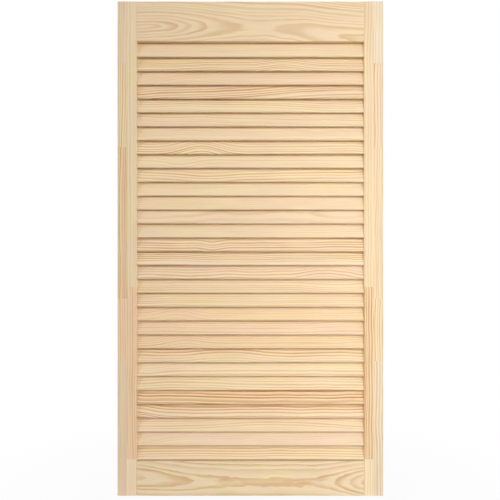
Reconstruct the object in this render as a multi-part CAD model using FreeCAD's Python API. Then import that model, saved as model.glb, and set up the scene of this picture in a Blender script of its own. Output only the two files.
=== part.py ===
import FreeCAD, Part
import math
import os

from FreeCAD import Vector

# Slatted cabinet door in solid pine: two stiles, two rails and a ladder of fixed, leaning slats.
# Sizes in millimetres. X runs across the door, Y from its front face (-Y) to its back, Z up.
# The origin lies under the middle of the door, at half its thickness.

# Frame
door_width = 594.0
door_height = 1105.0
door_thickness = 20.0
top_rail_height = 89.5
bottom_rail_height = 77.0
stile_arris_radius = 2.0
rail_arris_radius = 1.0
rail_end_arris_radius = 1.0

# Stiles: two strips glued edge to edge, each finger-jointed from shorter lengths.
# Lengths are laid from the bottom, and what is left up to the top is one more length.
outer_strip_width = 21.0
inner_strip_width = 22.0
outer_strip_lengths = (301.0, 140.0, 338.0, 188.0)
inner_strip_lengths = (82.0, 385.0)
finger_length = 10.0
finger_pitch = 4.0
finger_tip_width = 0.8

# Slats: round-edged strips, front edge low and back edge high, housed in the stiles
slat_count = 30
slat_width = 36.0
slat_thickness = 5.5
slat_setback = 2.0
slat_top_gap = 0.15
slat_bottom_gap = 2.2
housing_depth = 9.0
slat_side_play = 0.1
slat_end_play = 0.5

# Corner joints: two fluted dowels each
dowel_diameter = 8.0
dowel_length = 40.0
dowel_in_stile = 17.0
dowel_edge_distance = 22.0
dowel_chamfer = 1.0
dowel_flute_count = 10
dowel_flute_radius = 0.4
dowel_side_play = 0.05
dowel_end_play = 1.0

# Worked out from the sizes above
stile_width = outer_strip_width + inner_strip_width
opening_width = door_width - 2 * stile_width
opening_bottom = bottom_rail_height
opening_top = door_height - top_rail_height
front_y = -door_thickness / 2
inner_edge_x = opening_width / 2
glue_line_x = inner_edge_x + inner_strip_width
outer_edge_x = door_width / 2
nose_radius = slat_thickness / 2
nose_distance = slat_width - slat_thickness
slat_run = door_thickness - 2 * slat_setback - slat_thickness
slat_rise = math.sqrt(nose_distance ** 2 - slat_run ** 2)
slat_height = slat_rise + slat_thickness
slat_length = opening_width + 2 * (housing_depth - slat_end_play)
lowest_nose_z = opening_bottom + slat_bottom_gap + nose_radius
highest_nose_z = opening_top - slat_top_gap - slat_height + nose_radius
slat_pitch = (highest_nose_z - lowest_nose_z) / (slat_count - 1)
saw_margin = door_thickness


def eased_bar(size_x, size_y, size_z, corner, along, radius):
    """A bar with its lowest corner at corner and the four edges along one direction rounded."""
    bar = Part.makeBox(size_x, size_y, size_z, corner)
    edges = [edge for edge in bar.Edges if abs(edge.tangentAt(edge.FirstParameter).dot(along)) > 0.5]
    return bar.makeFillet(radius, edges)


def slat_section(nose_z, radius, x):
    """Face across a slat at x: a leaning strip with two half-round edges, its front one at nose_z."""
    low = Vector(x, -slat_run / 2, nose_z)
    high = Vector(x, slat_run / 2, nose_z + slat_rise)
    lean = (high - low) / nose_distance
    facing = Vector(0, -lean.z, lean.y)
    outline = [
        Part.LineSegment(low + facing * radius, high + facing * radius),
        Part.Arc(high + facing * radius, high + lean * radius, high - facing * radius),
        Part.LineSegment(high - facing * radius, low - facing * radius),
        Part.Arc(low - facing * radius, low - lean * radius, low + facing * radius),
    ]
    return Part.Face(Part.Wire([piece.toShape() for piece in outline]))


def slat(nose_z):
    """One slat, reaching into the housings of both stiles."""
    return slat_section(nose_z, nose_radius, -slat_length / 2).extrude(Vector(slat_length, 0, 0))


def slat_housing(nose_z):
    """The stopped groove in the right stile that takes one end of a slat."""
    face = slat_section(nose_z, nose_radius + slat_side_play, inner_edge_x - saw_margin)
    return face.extrude(Vector(saw_margin + housing_depth, 0, 0))


def slat_heights():
    """Heights of the slats' front noses, from the top slat down."""
    return [highest_nose_z - index * slat_pitch for index in range(slat_count)]


def rail_dowel_heights(rail_bottom, rail_height):
    """Heights of the two dowels at each end of a rail, the lower one first."""
    return (rail_bottom + dowel_edge_distance, rail_bottom + rail_height - dowel_edge_distance)


def dowel(z):
    """A fluted dowel with chamfered ends, across the joint at the right-hand inner edge."""
    start = Vector(inner_edge_x + dowel_in_stile - dowel_length, 0, z)
    along = Vector(1, 0, 0)
    pin = Part.makeCylinder(dowel_diameter / 2, dowel_length, start, along)
    rims = [edge for edge in pin.Edges if isinstance(edge.Curve, Part.Circle)]
    pin = pin.makeChamfer(dowel_chamfer, rims)
    flutes = []
    for index in range(dowel_flute_count):
        angle = 2 * math.pi * index / dowel_flute_count
        rim_point = Vector(0, math.cos(angle), math.sin(angle)) * (dowel_diameter / 2)
        flutes.append(Part.makeCylinder(dowel_flute_radius, dowel_length, start + rim_point, along))
    return pin.cut(flutes)


def dowel_hole(z):
    """The bore for a dowel, running through the joint at the right-hand inner edge."""
    start_x = inner_edge_x + dowel_in_stile - dowel_length - dowel_end_play
    depth = dowel_length + 2 * dowel_end_play
    radius = dowel_diameter / 2 + dowel_side_play
    return Part.makeCylinder(radius, depth, Vector(start_x, 0, z), Vector(1, 0, 0))


def mirrored(shape):
    """The left-hand twin of a right-hand shape."""
    return shape.mirror(Vector(0, 0, 0), Vector(1, 0, 0))


def rail(rail_bottom, rail_height):
    """A rail between the stiles, with eased edges and bored at both ends."""
    corner = Vector(-inner_edge_x, front_y, rail_bottom)
    size = (opening_width, door_thickness, rail_height)
    board = eased_bar(*size, corner, Vector(1, 0, 0), rail_arris_radius)
    board = board.common(eased_bar(*size, corner, Vector(0, 0, 1), rail_end_arris_radius))
    holes = [dowel_hole(z) for z in rail_dowel_heights(rail_bottom, rail_height)]
    return board.cut(holes + [mirrored(hole) for hole in holes])


def dowel_corner_heights():
    """Dowel heights of the two joints on one stile, by the joint's name."""
    return {
        "top": rail_dowel_heights(opening_top, top_rail_height),
        "bottom": rail_dowel_heights(0, bottom_rail_height),
    }


def stile_blank():
    """The right stile before it is taken apart: eased, grooved for the slats and bored for the dowels."""
    corner = Vector(inner_edge_x, front_y, 0)
    bar = eased_bar(stile_width, door_thickness, door_height, corner, Vector(0, 0, 1), stile_arris_radius)
    housings = [slat_housing(nose_z) for nose_z in slat_heights()]
    holes = [dowel_hole(z) for heights in dowel_corner_heights().values() for z in heights]
    return bar.cut(housings + holes)


def finger_line(joint_z):
    """Points of a finger joint's zigzag from front to back, as (y, z)."""
    count = max(1, round(door_thickness / finger_pitch))
    pitch = door_thickness / count
    half_tip = finger_tip_width / 2
    points = [(front_y - saw_margin, joint_z)]
    for index in range(count):
        root_y = front_y + index * pitch
        points.append((root_y + half_tip, joint_z))
        points.append((root_y + pitch / 2 - half_tip, joint_z + finger_length))
        points.append((root_y + pitch / 2 + half_tip, joint_z + finger_length))
        points.append((root_y + pitch - half_tip, joint_z))
    points.append((-front_y + saw_margin, joint_z))
    return points


def square_line(z):
    """Points of a square end from front to back, as (y, z)."""
    return [(front_y - saw_margin, z), (-front_y + saw_margin, z)]


def strip_lengths_cut(blank, left_x, right_x, lengths):
    """The finger-jointed lengths of one strip of the blank, from the bottom up."""
    lines = [square_line(-saw_margin)]
    joint_z = 0.0
    for length in lengths:
        joint_z += length
        if joint_z + 2 * finger_length < door_height:
            lines.append(finger_line(joint_z))
    lines.append(square_line(door_height + saw_margin))
    pieces = []
    for lower, upper in zip(lines, lines[1:]):
        outline = [Vector(left_x, y, z) for y, z in lower + upper[::-1]]
        face = Part.Face(Part.makePolygon(outline + outline[:1]))
        block = face.extrude(Vector(right_x - left_x, 0, 0))
        pieces.append(blank.common(block))
    return pieces


def stile_pieces():
    """All lengths of the right stile, by the end of their names."""
    blank = stile_blank()
    inner = strip_lengths_cut(blank, inner_edge_x - saw_margin, glue_line_x, inner_strip_lengths)
    outer = strip_lengths_cut(blank, glue_line_x, outer_edge_x + saw_margin, outer_strip_lengths)
    named = {}
    for strip_name, pieces in (("inner", inner), ("outer", outer)):
        for number, piece in enumerate(pieces, start=1):
            named[f"{strip_name}_{number}"] = piece
    return named


def door_pieces():
    """Every piece of the door by name."""
    pieces = {
        "top_rail": rail(opening_top, top_rail_height),
        "bottom_rail": rail(0, bottom_rail_height),
    }
    for number, nose_z in enumerate(slat_heights(), start=1):
        pieces[f"slat_{number:02d}"] = slat(nose_z)
    for name, piece in stile_pieces().items():
        pieces[f"right_stile_{name}"] = piece
        pieces[f"left_stile_{name}"] = mirrored(piece)
    for joint_name, heights in dowel_corner_heights().items():
        pair = Part.Compound([dowel(z) for z in heights])
        pieces[f"dowels_{joint_name}_right"] = pair
        pieces[f"dowels_{joint_name}_left"] = mirrored(pair)
    return pieces


os.makedirs("parts", exist_ok=True)
for piece_name, shape in door_pieces().items():
    shape.exportStep(os.path.join("parts", f"{piece_name}.step"))
    print(f"{piece_name}: {len(shape.Solids)} solid(s), {shape.Volume / 1000:.2f} cm3")
print(f"slats lean {math.degrees(math.asin(slat_run / nose_distance)):.2f} degrees, pitch {slat_pitch:.3f}")
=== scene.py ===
import math
import random
from dataclasses import dataclass

import bpy
from mathutils import Euler, Matrix, Vector


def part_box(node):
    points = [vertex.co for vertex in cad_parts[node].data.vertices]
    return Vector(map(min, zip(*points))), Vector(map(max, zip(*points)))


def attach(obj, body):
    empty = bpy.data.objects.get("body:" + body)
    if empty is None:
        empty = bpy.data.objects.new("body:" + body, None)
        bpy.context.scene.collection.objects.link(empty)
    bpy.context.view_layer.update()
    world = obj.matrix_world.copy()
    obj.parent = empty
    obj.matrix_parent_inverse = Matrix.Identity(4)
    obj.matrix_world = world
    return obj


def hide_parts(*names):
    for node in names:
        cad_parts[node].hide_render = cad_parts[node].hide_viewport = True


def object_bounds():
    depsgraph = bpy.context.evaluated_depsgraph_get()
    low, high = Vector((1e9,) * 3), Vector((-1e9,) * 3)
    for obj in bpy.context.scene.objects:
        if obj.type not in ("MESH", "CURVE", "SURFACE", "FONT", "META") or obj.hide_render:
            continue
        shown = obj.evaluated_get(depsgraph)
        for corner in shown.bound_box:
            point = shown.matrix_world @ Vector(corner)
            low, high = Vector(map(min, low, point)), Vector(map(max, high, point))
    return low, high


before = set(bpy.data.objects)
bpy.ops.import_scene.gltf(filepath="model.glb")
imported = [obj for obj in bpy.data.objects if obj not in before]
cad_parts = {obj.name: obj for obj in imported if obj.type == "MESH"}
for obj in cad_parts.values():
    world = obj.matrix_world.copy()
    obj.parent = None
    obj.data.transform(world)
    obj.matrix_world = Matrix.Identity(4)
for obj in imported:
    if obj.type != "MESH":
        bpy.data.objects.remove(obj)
cad_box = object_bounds()

# Photograph: the door's outline in its 500 by 500 frame, and the camera's distance in metres
image_side_px = 500
door_left_px = 117.6
door_right_px = 383.1
door_top_px = 1.4
door_bottom_px = 495.8
camera_distance = 1.55
sensor_width_mm = 36.0

# Slats as meshes, in metres: section, fineness, and the slight bow and twist of real strips
slat_thickness = 0.0055
slat_stations = 64
slat_nose_steps = 10
slat_face_steps = 6
slat_bow = 0.0003
slat_twist = math.radians(0.5)
slat_skew = 0.5
slat_seed = 4

# Pine: lengths in millimetres, strengths as shares
seed_step = 17.3
sway_length = 210
sway_reach = 9.0
ripple_length = 38
ripple_breadth = 9
ripple_reach = 1.6
ring_change = 0.41
ring_unevenness = 1.5
weakest_ring = 0.4
late_wood_start = 0.25
late_wood_full = 0.84
late_wood_end = 0.88
line_fading = 1.2
fibre_length = 60
fibre_breadth = 0.8
fibre_light = 0.14
canal_length = 9
canal_breadth = 0.5
canal_rim = 0.24
canal_core = 0.32
canal_darkness = 0.35
cloud_length = 110
cloud_breadth = 15
cloud_light = 0.10
blush_in_green = 0.11
blush_in_blue = -0.19
plain_roughness = 0.60
fibre_roughness = 0.22
late_wood_roughness = -0.12
late_wood_height = 0.5
canal_height = -0.5
relief_strength = 0.25
relief_depth = 0.25
wood_specular = 0.22

# Studio: light from the world in front and behind, floor, and lamps
world_front = 0.42
world_back = 0.02
world_turn = 0.25
floor_side = 30.0
floor_drop = 0.0003
floor_tone_near = 0.27
floor_tone_far = 0.05
floor_near_reach = 0.25
floor_far_reach = 0.70
floor_white_near = 0.95
floor_white_reach = 0.9
far_lamp_side = 1.6
far_lamp_distance = 9.0

pure_white = (1.0, 1.0, 1.0, 1.0)
millimetre = 0.001
low, high = cad_box
door_height = high.z - low.z
door_front = low.y
door_middle = (low + high) / 2


def linear(red, green, blue):
    """A display colour, 0 to 255, as the linear colour that a shader takes."""
    channels = []
    for value in (red, green, blue):
        share = value / 255
        channels.append(share / 12.92 if share <= 0.04045 else ((share + 0.055) / 1.055) ** 2.4)
    return (*channels, 1.0)


# Wood tones: early wood, late wood
tones = {
    "cream": (linear(242, 218, 183), linear(207, 165, 111)),
    "butter": (linear(243, 221, 184), linear(214, 167, 106)),
    "honey": (linear(241, 216, 179), linear(206, 159, 97)),
    "peach": (linear(242, 215, 180), linear(208, 153, 98)),
    "apricot": (linear(247, 215, 178), linear(211, 153, 97)),
    "pale": (linear(249, 226, 190), linear(219, 172, 112)),
    "pink": (linear(240, 214, 181), linear(204, 153, 107)),
    "straw": (linear(240, 222, 193), linear(210, 168, 108)),
    "tan": (linear(241, 216, 180), linear(198, 140, 78)),
    "amber": (linear(241, 213, 171), linear(192, 128, 66)),
    "beech": (linear(222, 186, 150), linear(196, 150, 112)),
}


@dataclass
class Grain:
    """How a board was cut from its log. Lengths are in millimetres, in the board's own directions:
    along the grain, across the face and out of the face, from the board's middle. Rings is the width of a
    ring, and lines the strength of its late wood. Swerve (across), dip and rise (both out) bend the pith:
    how far, at which place along the board and over what length."""
    tone: str
    rings: float
    lines: float
    pith: tuple
    runout: tuple = (0.0, 0.0)
    swerve: tuple = (0.0, 0.0, 100.0)
    dip: tuple = (0.0, 0.0, 100.0)
    rise: tuple = (0.0, 0.0, 100.0)
    wander: float = 1.0
    ragged: float = 1.0


# Slats from the top down. Across is up the face.
slat_grains = (
    Grain("honey", 3.4, 0.25, (80, -60)),
    Grain("butter", 4.6, 1.25, (-75, -12), swerve=(9, 80, 50)),
    Grain("peach", 4.8, 0.45, (-70, -14), swerve=(-18, -262, 75)),
    Grain("tan", 6.6, 0.90, (-80, -8), runout=(0.05, 0), swerve=(8, 190, 120)),
    Grain("butter", 5.4, 0.90, (-70, -14), swerve=(-10, 190, 120)),
    Grain("honey", 5.2, 0.42, (70, -30), runout=(-0.02, 0)),
    Grain("honey", 4.4, 0.25, (60, -70)),
    Grain("butter", 6.0, 1.05, (-70, -8), swerve=(20, -112, 55)),
    Grain("butter", 4.6, 0.45, (70, -20), swerve=(-9, -157, 38)),
    Grain("butter", 6.6, 1.05, (75, -10), swerve=(-8, -85, 95)),
    Grain("honey", 4.0, 0.25, (70, -40)),
    Grain("honey", 4.4, 0.28, (60, -35), swerve=(6, -150, 60)),
    Grain("pink", 6.0, 0.42, (10, -28), dip=(-4, 100, 90)),
    Grain("cream", 4.2, 0.50, (75, -30)),
    Grain("tan", 6.2, 0.85, (75, -8), swerve=(-6, -85, 26)),
    Grain("cream", 6.0, 1.05, (75, -8), swerve=(3, -200, 120)),
    Grain("pink", 5.6, 0.75, (-40, -18), swerve=(10, 190, 60), wander=1.8, ragged=1.6),
    Grain("honey", 4.8, 0.55, (-75, -12), swerve=(-4, 200, 70)),
    Grain("honey", 5.2, 0.62, (75, -18)),
    Grain("amber", 4.8, 0.35, (-60, -14), swerve=(12, -165, 45)),
    Grain("peach", 5.0, 0.70, (75, -12)),
    Grain("amber", 4.8, 0.40, (-60, -14), runout=(0.015, 0), swerve=(11, -150, 50)),
    Grain("honey", 6.2, 0.92, (75, -9), swerve=(8, -60, 80)),
    Grain("butter", 6.0, 0.68, (75, -8), swerve=(-5, -240, 60)),
    Grain("butter", 6.4, 0.88, (75, -8), swerve=(5, -140, 120)),
    Grain("amber", 7.2, 1.10, (80, -5), runout=(-0.02, 0), swerve=(5, 262, 70)),
    Grain("tan", 6.8, 1.12, (80, -7), swerve=(9, -262, 60)),
    Grain("honey", 5.2, 0.50, (75, -12), swerve=(9, 60, 120)),
    Grain("pink", 4.4, 0.34, (-70, -16), swerve=(-16, -262, 70)),
    Grain("honey", 6.4, 0.85, (75, -7)),
)

# Rails and stiles. Across is up the face on a rail, and to the left seen from the front on a stile.
frame_grains = {
    "top_rail": Grain(
        "honey", 6.5, 0.55, (-12, -24.6), swerve=(-30, 300, 170), dip=(33.6, -254, 130), rise=(16, 300, 145),
        ragged=1.8),
    "bottom_rail": Grain(
        "butter", 7.5, 0.75, (-8, -23.8), swerve=(12, -280, 100), dip=(15, -300, 152), rise=(31, 300, 80),
        wander=0.25, ragged=2.8),
    "left_stile_outer_5": Grain("pink", 5.4, 0.55, (60, -16)),
    "left_stile_outer_4": Grain("butter", 5.0, 1.00, (60, -10)),
    "left_stile_outer_3": Grain("amber", 4.6, 0.85, (60, -8)),
    "left_stile_outer_2": Grain("apricot", 5.0, 0.50, (60, -10)),
    "left_stile_outer_1": Grain("pink", 5.0, 0.22, (60, -20)),
    "left_stile_inner_3": Grain("butter", 5.0, 0.48, (-60, -16)),
    "left_stile_inner_2": Grain("apricot", 4.8, 0.55, (-60, -8)),
    "left_stile_inner_1": Grain("pale", 4.8, 0.18, (60, -20)),
    "right_stile_inner_3": Grain("honey", 5.8, 0.42, (60, -14)),
    "right_stile_inner_2": Grain("amber", 5.4, 1.10, (60, -8)),
    "right_stile_inner_1": Grain("pale", 5.2, 0.50, (60, -10)),
    "right_stile_outer_5": Grain("straw", 6.0, 0.45, (60, -10)),
    "right_stile_outer_4": Grain("pink", 6.4, 0.80, (60, -12)),
    "right_stile_outer_3": Grain("honey", 5.6, 0.72, (60, -14)),
    "right_stile_outer_2": Grain("butter", 6.2, 1.35, (60, -8)),
    "right_stile_outer_1": Grain("straw", 6.2, 0.80, (60, -8)),
}
dowel_grain = Grain("beech", 1.6, 0.40, (30, -20))


# Places of the colour sockets on a Mix node
mix_factor = 0
mix_first = 6
mix_second = 7
mix_result = 2


class NodeMaker:
    """Adds nodes to one node tree. Inputs may be sockets, numbers, vectors or colours."""

    def __init__(self, tree):
        self.tree = tree

    def feed(self, socket, value):
        if isinstance(value, bpy.types.NodeSocket):
            self.tree.links.new(value, socket)
        else:
            socket.default_value = value

    def node(self, kind, inputs=None, **settings):
        made = self.tree.nodes.new(kind)
        for key, value in settings.items():
            setattr(made, key, value)
        for key, value in (inputs or {}).items():
            self.feed(made.inputs[key], value)
        return made

    def math(self, operation, *values):
        made = self.node("ShaderNodeMath", operation=operation)
        for socket, value in zip(made.inputs, values):
            self.feed(socket, value)
        return made.outputs[0]

    def smooth(self, value, start, end, to_start=0.0, to_end=1.0):
        inputs = {"Value": value, "From Min": start, "From Max": end, "To Min": to_start, "To Max": to_end}
        return self.node("ShaderNodeMapRange", inputs, interpolation_type="SMOOTHSTEP").outputs["Result"]

    def vector(self, x, y, z):
        return self.node("ShaderNodeCombineXYZ", {"X": x, "Y": y, "Z": z}).outputs["Vector"]

    def parts(self, vector):
        return self.node("ShaderNodeSeparateXYZ", {"Vector": vector}).outputs[:3]

    def noise(self, detail, **place):
        """Three noises about zero, along a line (W) or in space (Vector)."""
        inputs = {"Scale": 1.0, "Detail": detail, **place}
        size = "1D" if "W" in place else "3D"
        made = self.node("ShaderNodeTexNoise", inputs, noise_dimensions=size)
        return [self.math("SUBTRACT", part, 0.5) for part in self.parts(made.outputs["Color"])]

    def blend(self, factor, first, second, kind="MIX"):
        inputs = {mix_factor: factor, mix_first: first, mix_second: second}
        made = self.node("ShaderNodeMix", inputs, data_type="RGBA", blend_type=kind)
        return made.outputs[mix_result]


def fresh_tree(owner):
    """The emptied node tree of a new material or world."""
    owner.use_nodes = True
    owner.node_tree.nodes.clear()
    return owner.node_tree


def pine_sockets(tree):
    """The inputs and outputs of the pine group."""
    kinds = {"vector": "NodeSocketVector", "number": "NodeSocketFloat", "colour": "NodeSocketColor"}
    inputs = (
        ("Board", "vector"), ("Pith", "vector"), ("Runout", "vector"), ("Swerve", "vector"),
        ("Dip", "vector"), ("Rise", "vector"), ("Wander", "number"), ("Ragged", "number"),
        ("Ring Width", "number"), ("Lines", "number"), ("Seed", "number"),
        ("Early Wood", "colour"), ("Late Wood", "colour"),
    )
    outputs = (("Color", "colour"), ("Roughness", "number"), ("Height", "number"))
    for direction, sockets in (("INPUT", inputs), ("OUTPUT", outputs)):
        for name, kind in sockets:
            tree.interface.new_socket(name, in_out=direction, socket_type=kinds[kind])


def stretched(make, board, shift, length, breadth):
    """A place in the wood, scaled for noise whose grains have this length and breadth."""
    along, across, out = board
    return make.vector(
        make.math("MULTIPLY_ADD", along, 1 / length, shift),
        make.math("MULTIPLY", across, 1 / breadth),
        make.math("MULTIPLY", out, 1 / breadth),
    )


def bent(make, along, bend):
    """How far a bend (amount, place, length) has pushed the pith aside at a place along the board."""
    amount, place, length = make.parts(bend)
    away = make.math("DIVIDE", make.math("SUBTRACT", along, place), length)
    fall = make.math("EXPONENT", make.math("MULTIPLY", make.math("MULTIPLY", away, away), -1.0))
    return make.math("MULTIPLY", amount, fall)


def pith_distance(make, given, board, shift):
    """Distance from the pith, which drifts, bends and wanders along the log, with ripples in the rings."""
    along, across, out = board
    sway_size = make.math("MULTIPLY", given["Wander"], sway_reach)
    sways = make.noise(detail=2.0, W=make.math("MULTIPLY_ADD", along, 1 / sway_length, shift))
    piths = make.parts(given["Pith"])
    drifts = make.parts(given["Runout"])
    bends = (("Swerve",), ("Dip", "Rise"))
    offsets = []
    for place, pith, drift, names, sway in zip((across, out), piths, drifts, bends, sways):
        line = make.math("MULTIPLY_ADD", drift, along, pith)
        for name in names:
            line = make.math("ADD", line, bent(make, along, given[name]))
        line = make.math("MULTIPLY_ADD", sway, sway_size, line)
        offsets.append(make.math("SUBTRACT", place, line))
    flat = make.vector(offsets[0], offsets[1], 0.0)
    radius = make.node("ShaderNodeVectorMath", {0: flat}, operation="LENGTH").outputs["Value"]
    ripples = stretched(make, board, shift, ripple_length, ripple_breadth)
    ripple = make.noise(detail=3.0, Vector=ripples)[0]
    return make.math("MULTIPLY_ADD", ripple, make.math("MULTIPLY", given["Ragged"], ripple_reach), radius)


def late_wood(make, given, radius, shift):
    """Share of late wood: each ring darkens slowly and ends sharply, and rings differ in width and depth."""
    count = make.math("DIVIDE", radius, given["Ring Width"])
    uneven = make.noise(detail=1.0, W=make.math("MULTIPLY_ADD", count, ring_change, shift))[0]
    count = make.math("MULTIPLY_ADD", uneven, ring_unevenness, count)
    phase = make.math("FRACT", count)
    ring = make.math("ADD", make.math("FLOOR", count), shift)
    luck = make.node("ShaderNodeTexWhiteNoise", {"W": ring}, noise_dimensions="1D").outputs["Value"]
    rise = make.smooth(phase, late_wood_start, late_wood_full)
    fall = make.smooth(phase, late_wood_end, 1.0, 1.0, 0.0)
    strength = make.math("MULTIPLY_ADD", luck, 1 - weakest_ring, weakest_ring)
    return make.math("MULTIPLY", make.math("MULTIPLY", rise, fall), strength)


def pine_group():
    """Pine cut from a log: growth rings, fibres, resin canals and blushes of colour."""
    tree = bpy.data.node_groups.new("pine", "ShaderNodeTree")
    pine_sockets(tree)
    make = NodeMaker(tree)
    given = make.node("NodeGroupInput").outputs
    board = make.parts(given["Board"])
    shift = make.math("MULTIPLY", given["Seed"], seed_step)
    radius = pith_distance(make, given, board, shift)
    late = late_wood(make, given, radius, shift)
    fibres = stretched(make, board, shift, fibre_length, fibre_breadth)
    fibre = make.noise(detail=3.0, Vector=fibres)[0]
    canals = stretched(make, board, shift, canal_length, canal_breadth)
    canal = make.smooth(make.noise(detail=0.0, Vector=canals)[0], canal_rim, canal_core)
    clouds = stretched(make, board, shift, cloud_length, cloud_breadth)
    cloud, blush, fade = make.noise(detail=1.0, Vector=clouds)

    depth = make.math("MULTIPLY", late, given["Lines"])
    depth = make.math("MULTIPLY", depth, make.math("MULTIPLY_ADD", fade, line_fading, 1.0))
    colour = make.blend(depth, given["Early Wood"], given["Late Wood"])
    colour = make.blend(make.math("MULTIPLY", canal, canal_darkness), colour, given["Late Wood"])
    light = make.math("MULTIPLY_ADD", cloud, cloud_light, 1.0)
    light = make.math("MULTIPLY_ADD", fibre, fibre_light, light)
    green = make.math("MULTIPLY_ADD", blush, blush_in_green, 1.0)
    blue = make.math("MULTIPLY_ADD", blush, blush_in_blue, 1.0)
    shade = make.vector(light, make.math("MULTIPLY", light, green), make.math("MULTIPLY", light, blue))
    colour = make.blend(1.0, colour, shade, "MULTIPLY")
    roughness = make.math("MULTIPLY_ADD", depth, late_wood_roughness, plain_roughness)
    roughness = make.math("MULTIPLY_ADD", fibre, fibre_roughness, roughness)
    height = make.math("MULTIPLY_ADD", canal, canal_height, fibre)
    height = make.math("MULTIPLY_ADD", depth, late_wood_height, height)
    make.node("NodeGroupOutput", {"Color": colour, "Roughness": roughness, "Height": height})
    return tree


pine = pine_group()


def pine_material(name, grain, centre, turn, seed):
    """Pine for one board, cut as its grain says. Centre and turn are the board's middle and directions."""
    material = bpy.data.materials.new(f"wood_{name}")
    make = NodeMaker(fresh_tree(material))
    place = make.node("ShaderNodeTexCoord").outputs["Object"]
    mapping = {"Vector": place, "Location": centre, "Rotation": turn, "Scale": (millimetre,) * 3}
    board = make.node("ShaderNodeMapping", mapping, vector_type="TEXTURE")
    early, late = tones[grain.tone]
    values = {
        "Board": board.outputs["Vector"], "Pith": (*grain.pith, 0.0), "Runout": (*grain.runout, 0.0),
        "Swerve": grain.swerve, "Dip": grain.dip, "Rise": grain.rise, "Wander": grain.wander,
        "Ragged": grain.ragged, "Ring Width": grain.rings, "Lines": grain.lines, "Seed": float(seed),
        "Early Wood": early, "Late Wood": late,
    }
    wood = make.node("ShaderNodeGroup", values, node_tree=pine)
    relief = {
        "Strength": relief_strength, "Distance": relief_depth * millimetre, "Height": wood.outputs["Height"],
    }
    normal = make.node("ShaderNodeBump", relief).outputs["Normal"]
    surface = {
        "Base Color": wood.outputs["Color"], "Roughness": wood.outputs["Roughness"], "Normal": normal,
        "Specular IOR Level": wood_specular,
    }
    shader = make.node("ShaderNodeBsdfPrincipled", surface)
    make.node("ShaderNodeOutputMaterial", {"Surface": shader.outputs["BSDF"]})
    return material


def dress(piece, material):
    """Gives a piece one material all over."""
    piece.data.materials.clear()
    piece.data.materials.append(material)


def middle(node):
    """The middle of a CAD node's box."""
    corner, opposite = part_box(node)
    return (corner + opposite) / 2


def slat_noses(node):
    """Centres of a slat's two half-round edges as (y, z), front then back, and its lean from upright."""
    corner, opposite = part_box(node)
    inset = Vector((slat_thickness / 2, slat_thickness / 2))
    front = corner.yz + inset
    back = opposite.yz - inset
    return front, back, math.atan2(back.x - front.x, back.y - front.y)


def slat_outline(node):
    """Points round a slat's section as (y, z): two flat faces and two half-round edges."""
    front, back, lean = slat_noses(node)
    radius = slat_thickness / 2
    upwards = Vector((math.sin(lean), math.cos(lean)))
    outwards = Vector((-math.cos(lean), math.sin(lean)))
    points = []
    for start, end, side, tip in ((front, back, outwards, upwards), (back, front, -outwards, -upwards)):
        for step in range(slat_face_steps):
            points.append(start.lerp(end, step / slat_face_steps) + side * radius)
        for step in range(slat_nose_steps):
            angle = math.pi * step / slat_nose_steps
            points.append(end + (side * math.cos(angle) + tip * math.sin(angle)) * radius)
    return points


def slat_points(node, luck):
    """Rings of points along a slat with a real strip's slight bow and twist, true at its housed ends."""
    corner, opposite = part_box(node)
    centre = middle(node)
    bow = Vector((luck.uniform(-slat_bow, slat_bow), luck.uniform(-slat_bow, slat_bow)))
    twist = luck.uniform(-slat_twist, slat_twist)
    skew = luck.uniform(-slat_skew, slat_skew)
    outline = slat_outline(node)
    rings = []
    for station in range(slat_stations + 1):
        share = 2 * station / slat_stations - 1
        x = centre.x + share * (opposite.x - corner.x) / 2
        free = (1 - share ** 2) * (1 + skew * share)
        turn = Matrix.Rotation(twist * free * share, 2)
        moved = [centre.yz + turn @ (point - centre.yz) + bow * free for point in outline]
        rings.append([(x, *point) for point in moved])
    return rings


def slat_piece(node, luck):
    """A slat as a fine mesh in the place of its CAD node."""
    rings = slat_points(node, luck)
    count = len(rings[0])
    points = [point for ring in rings for point in ring]
    faces = [tuple(range(count)), tuple(reversed(range(len(points) - count, len(points))))]
    for first in range(0, len(points) - count, count):
        for index in range(count):
            after = (index + 1) % count
            faces.append((first + index, first + count + index, first + count + after, first + after))
    mesh = bpy.data.meshes.new(f"wood_{node}")
    mesh.from_pydata(points, [], faces)
    for polygon in mesh.polygons:
        polygon.use_smooth = len(polygon.vertices) == 4
    mesh.validate()
    piece = bpy.data.objects.new(f"wood_{node}", mesh)
    bpy.context.scene.collection.objects.link(piece)
    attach(piece, "root")
    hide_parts(node)
    return piece


def make_slats():
    """All slats, each from its own strip of wood."""
    luck = random.Random(slat_seed)
    for number, grain in enumerate(slat_grains, start=1):
        node = f"slat_{number:02d}"
        turn = Euler((math.pi / 2 - slat_noses(node)[2], 0, 0))
        dress(slat_piece(node, luck), pine_material(node, grain, middle(node), turn, number))


def dress_frame():
    """Wood for the CAD nodes of the rails, stiles and dowels. The columns of a turn are the ways in which
    along, across and out point: right, up and front on a rail, and up, left and front on a stile."""
    rail_turn = Euler((math.pi / 2, 0, 0))
    stile_turn = Matrix(((0, -1, 0), (0, 0, -1), (1, 0, 0))).to_euler()
    dowels = {name: dowel_grain for name in sorted(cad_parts) if name.startswith("dowels_")}
    first_seed = len(slat_grains) + 1
    for seed, (node, grain) in enumerate({**frame_grains, **dowels}.items(), start=first_seed):
        turn = stile_turn if "_stile_" in node else rail_turn
        dress(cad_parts[node], pine_material(node, grain, middle(node), turn, seed))


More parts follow.
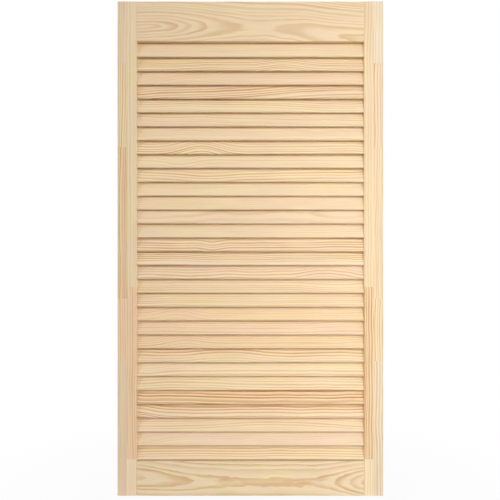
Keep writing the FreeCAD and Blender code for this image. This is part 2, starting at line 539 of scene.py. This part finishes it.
def lamp(name, place, aim, width, height, power):
    """A soft box at place that faces aim and can't be seen itself."""
    light = bpy.data.lights.new(name, "AREA")
    light.shape = "RECTANGLE"
    light.size = width
    light.size_y = height
    light.energy = power
    holder = bpy.data.objects.new(name, light)
    holder.location = place
    holder.rotation_euler = (Vector(aim) - Vector(place)).to_track_quat("-Z", "Y").to_euler()
    holder.visible_camera = False
    bpy.context.scene.collection.objects.link(holder)


def far_lamp(name, azimuth, elevation, power):
    """A large soft box far off: azimuth in degrees to the right of the front, elevation in degrees up."""
    turn = math.radians(azimuth)
    rise = math.radians(elevation)
    way = Vector((math.sin(turn) * math.cos(rise), -math.cos(turn) * math.cos(rise), math.sin(rise)))
    lamp(name, door_middle + way * far_lamp_distance, door_middle, far_lamp_side, far_lamp_side, power)


def make_lamps():
    """A tall strip close by on the right, far soft boxes in front and to both sides, a narrow one above the
    top edge, and a low one behind, which lights the slats' backs from below and leaves their slots dark."""
    lamp("strip", place=(0.50, -0.65, 0.70), aim=(0.0, 0.0, 0.85), width=0.30, height=1.40, power=3.95)
    far_lamp("front", azimuth=0, elevation=15, power=130.0)
    far_lamp("left", azimuth=-55, elevation=17, power=242.0)
    far_lamp("right", azimuth=60, elevation=10, power=125.0)
    lamp("top", place=(0.0, 0.0, 1.60), aim=(0.0, 0.0, 1.00), width=0.60, height=0.02, power=1.0)
    lamp("back", place=(0.0, 0.90, 0.05), aim=(0.0, 0.40, 1.20), width=1.80, height=0.10, power=14.0)


def seen_rays(make):
    """One for the rays that show the background: from the camera, off gloss and through glass."""
    path = make.node("ShaderNodeLightPath").outputs
    seen = make.math("MAXIMUM", path["Is Camera Ray"], path["Is Glossy Ray"])
    return make.math("MAXIMUM", seen, path["Is Transmission Ray"])


def make_world():
    """Even light from the front half, less from behind, and white where it is seen."""
    world = bpy.data.worlds.new("studio")
    make = NodeMaker(fresh_tree(world))
    way = make.node("ShaderNodeTexCoord").outputs["Generated"]
    plain = make.smooth(make.parts(way)[1], -world_turn, world_turn, world_front, world_back)
    strength = make.math("MAXIMUM", seen_rays(make), plain)
    back = make.node("ShaderNodeBackground", {"Color": pure_white, "Strength": strength})
    make.node("ShaderNodeOutputWorld", {"Surface": back.outputs["Background"]})
    bpy.context.scene.world = world


def floor_material():
    """A pale floor that is seen as white and keeps a soft shadow near the object."""
    material = bpy.data.materials.new("floor")
    make = NodeMaker(fresh_tree(material))
    place = make.node("ShaderNodeTexCoord").outputs["Object"]
    reach = make.node("ShaderNodeVectorMath", {0: place}, operation="LENGTH").outputs["Value"]
    white = make.smooth(reach, 0.0, floor_white_reach, floor_white_near, 1.0)
    tone = make.smooth(reach, floor_near_reach, floor_far_reach, floor_tone_near, floor_tone_far)
    matt = make.node("ShaderNodeBsdfDiffuse", {"Color": make.vector(tone, tone, tone)})
    glow = make.node("ShaderNodeEmission", {"Color": pure_white, "Strength": 1.0})
    seen = make.math("MULTIPLY", seen_rays(make), white)
    inputs = {"Fac": seen, 1: matt.outputs["BSDF"], 2: glow.outputs["Emission"]}
    mixed = make.node("ShaderNodeMixShader", inputs)
    make.node("ShaderNodeOutputMaterial", {"Surface": mixed.outputs["Shader"]})
    return material


def make_floor():
    """The floor that the door stands on."""
    half = floor_side / 2
    corners = [(x, y, -floor_drop) for x, y in ((-half, -half), (half, -half), (half, half), (-half, half))]
    mesh = bpy.data.meshes.new("floor")
    mesh.from_pydata(corners, [], [(0, 1, 2, 3)])
    mesh.materials.append(floor_material())
    floor = bpy.data.objects.new("floor", mesh)
    bpy.context.scene.collection.objects.link(floor)


def make_camera():
    """A camera square to the door, with the photograph's framing."""
    metres_per_px = door_height / (door_bottom_px - door_top_px)
    middle_px = image_side_px / 2
    across = (middle_px - (door_left_px + door_right_px) / 2) * metres_per_px
    up = (door_bottom_px - middle_px) * metres_per_px
    camera = bpy.data.cameras.new("camera")
    camera.sensor_width = sensor_width_mm
    camera.lens = sensor_width_mm * camera_distance / (image_side_px * metres_per_px)
    holder = bpy.data.objects.new("camera", camera)
    holder.location = (across, door_front - camera_distance, up)
    holder.rotation_euler = (math.pi / 2, 0, 0)
    bpy.context.scene.collection.objects.link(holder)
    bpy.context.scene.camera = holder


make_slats()
dress_frame()
make_world()
make_floor()
make_lamps()
make_camera()
bpy.context.scene.view_settings.view_transform = "Standard"
